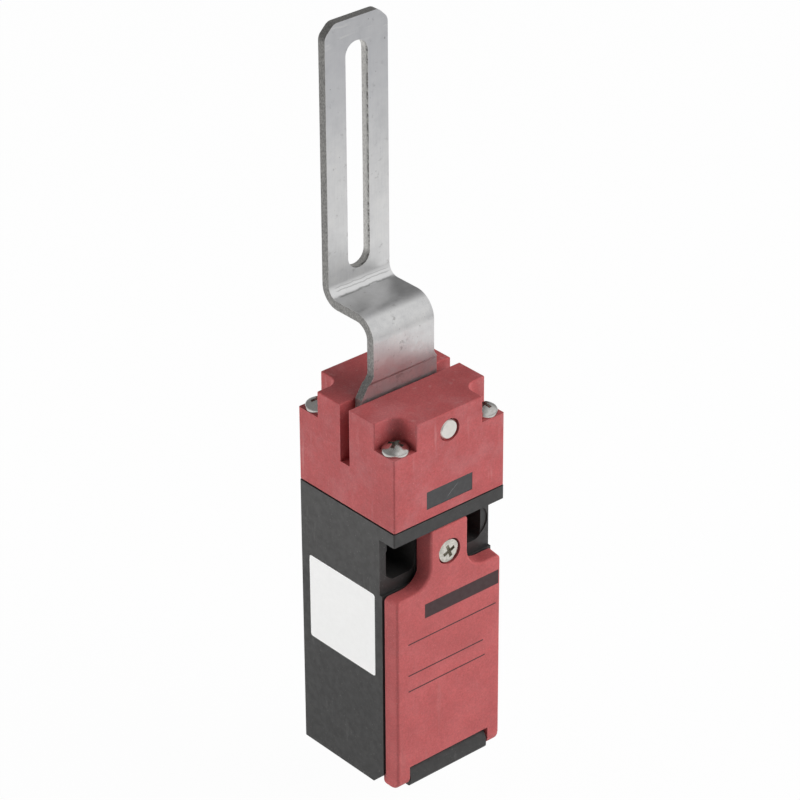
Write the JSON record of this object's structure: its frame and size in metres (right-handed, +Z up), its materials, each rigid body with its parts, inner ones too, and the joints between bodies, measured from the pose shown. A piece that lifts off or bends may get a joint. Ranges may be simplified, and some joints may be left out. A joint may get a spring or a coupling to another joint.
{
  "type": "safety hinge switch",
  "caption": "Safety switch with a bent, slotted steel lever that swings in a red head on a black body; a hinged red front cover closes the wiring chamber.",
  "frame": {"origin": "centre of the switch's plan at the bottom of the housing", "axes": "+X to the right seen from the front, +Y from the front cover to the rear mounting face, +Z up along the lever"},
  "size_m": [0.0302, 0.03, 0.1656],
  "materials": {
    "red_plastic": "moulded, fine mottled matt",
    "black_plastic": "moulded, fine matt",
    "stainless": "satin sheet with sheared edges",
    "bright_steel": "bright nickel plate",
    "spring_steel": "drawn wire",
    "brass": "turned and stamped",
    "clamp_steel": "zinc plate",
    "rubber": "smooth black",
    "label_white": "plain film",
    "pale_plastic": "natural moulded",
    "block_plastic": "moulded"
  },
  "bodies": {
    "switch_body": {"body_base": "black_plastic", "body_housing": "black_plastic", "body_mount": "black_plastic", "body_flange": "black_plastic", "head_casing": "red_plastic", "head_cheeks": "red_plastic", "head_insert": "black_plastic", "head_gasket": "rubber", "head_screws": "bright_steel", "side_label": "label_white", "cover_screw_insert": "brass", "plunger_guide": "pale_plastic", "plunger_seal": "rubber", "contact_block": "block_plastic", "block_rear_plate": "block_plastic", "block_screws": "bright_steel", "closed_fixed_contacts": "brass", "open_fixed_contacts": "brass", "terminal_clamps": "clamp_steel", "terminal_screws": "bright_steel", "return_spring": "spring_steel"},
    "lever": {"lever_arm": "stainless", "lever_pin": "bright_steel"},
    "cover": {"front_cover": "red_plastic", "cover_gasket": "rubber", "cover_screw": "bright_steel", "screw_retainer": "spring_steel"},
    "plunger": {"drive_plunger": "pale_plastic", "contact_carrier": "pale_plastic", "closed_bridge": "brass", "open_bridge": "brass", "contact_springs": "spring_steel"}
  },
  "joints": [
    {"name": "lever_swing", "type": "hinge", "parent": "switch_body", "child": "lever", "pos_m": [0, 0, 0.08395], "axis": [0, 1, 0], "range_deg": [-90, 90]},
    {"name": "cover_hinge", "type": "hinge", "parent": "switch_body", "child": "cover", "pos_m": [0, -0.0127, 0.0027], "axis": [1, 0, 0], "range_deg": [0, 100]},
    {"name": "plunger_push", "type": "slide", "parent": "switch_body", "child": "plunger", "axis": [0, 0, -1], "range_m": [0, 0.0024], "stiffness_N_per_m": 400, "springref_m": -0.0025, "deforming": ["return_spring"]}
  ]
}
